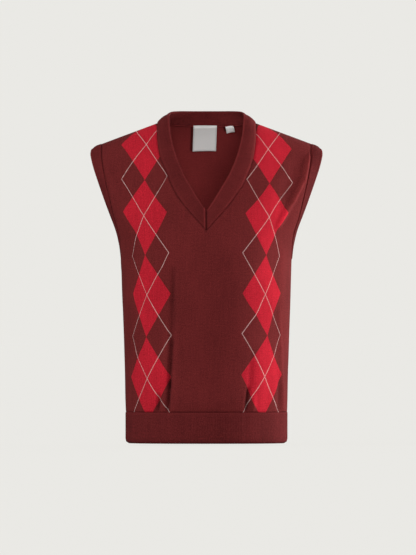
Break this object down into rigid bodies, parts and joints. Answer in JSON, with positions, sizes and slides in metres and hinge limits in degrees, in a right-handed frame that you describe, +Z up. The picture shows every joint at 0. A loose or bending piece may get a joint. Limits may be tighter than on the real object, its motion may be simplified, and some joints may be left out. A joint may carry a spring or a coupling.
{
  "type": "sweater vest",
  "caption": "Knitted V-neck sweater vest, filled out as worn, with ribbed neckband, armbands and hem and an argyle front.",
  "frame": {"origin": "on the centre plane between the shoulders, level with the neck ends of the shoulder seams, where a wearer carries it", "axes": "+Z up, +X to the right of someone who looks at the front, and the front faces -Y"},
  "size_m": [0.4299, 0.2422, 0.6154],
  "materials": {
    "body_knit": "fine maroon stocking-stitch knit",
    "rib_knit": "maroon rib knit",
    "label_cloth": "blank woven tape"
  },
  "bodies": {
    "root": {"front_panel": "body_knit", "back_panel": "body_knit", "front_hem_rib": "rib_knit", "back_hem_rib": "rib_knit", "right_armband": "rib_knit", "left_armband": "rib_knit", "neckband": "rib_knit", "neck_label": "label_cloth", "size_label": "label_cloth"}
  },
  "joints": []
}
